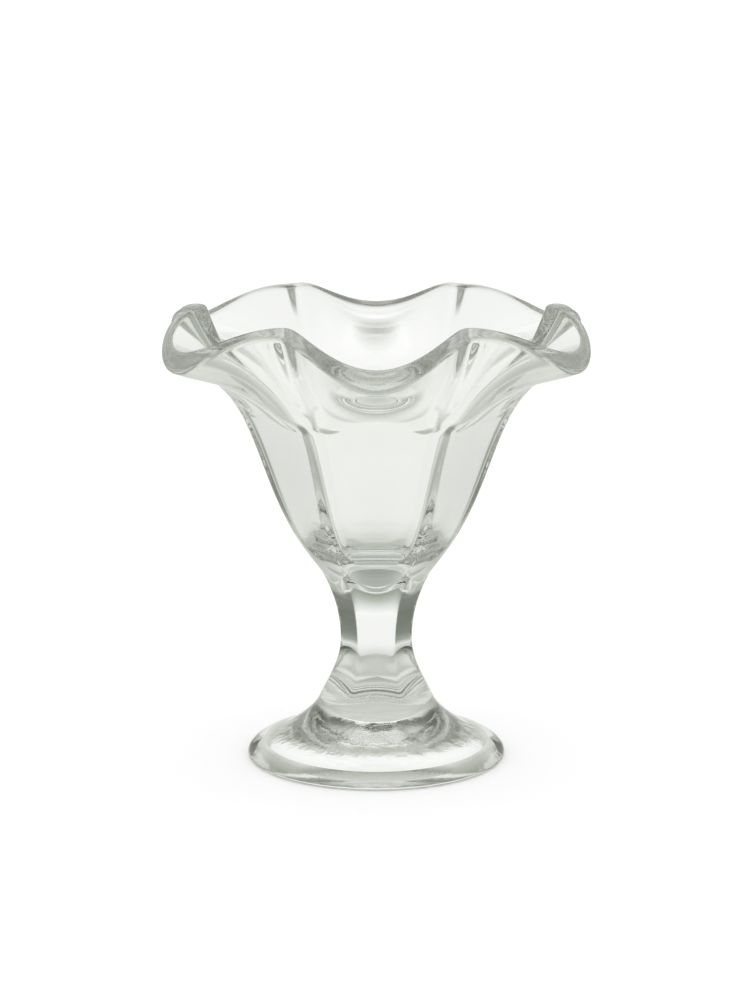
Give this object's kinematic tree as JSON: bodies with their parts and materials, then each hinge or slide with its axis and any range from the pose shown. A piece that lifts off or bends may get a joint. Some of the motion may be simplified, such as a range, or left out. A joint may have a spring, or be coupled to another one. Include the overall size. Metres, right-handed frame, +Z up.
{
  "type": "parfait glass",
  "caption": "Footed clear glass dish with flat panels, a wavy petal rim, a waisted stem and a hollow round foot.",
  "frame": {"origin": "centre of the flat ring that the foot stands on", "axes": "+Z up along the glass's axis; -Y towards the middle of the petal that faces the viewer, and +X towards a crest of the rim"},
  "size_m": [0.113, 0.1236, 0.1256],
  "materials": {
    "clear_glass": "clear and fire polished, with a faintly hammered hollow under the foot"
  },
  "bodies": {
    "root": {"bowl": "clear_glass", "stem": "clear_glass", "foot": "clear_glass"}
  },
  "joints": []
}
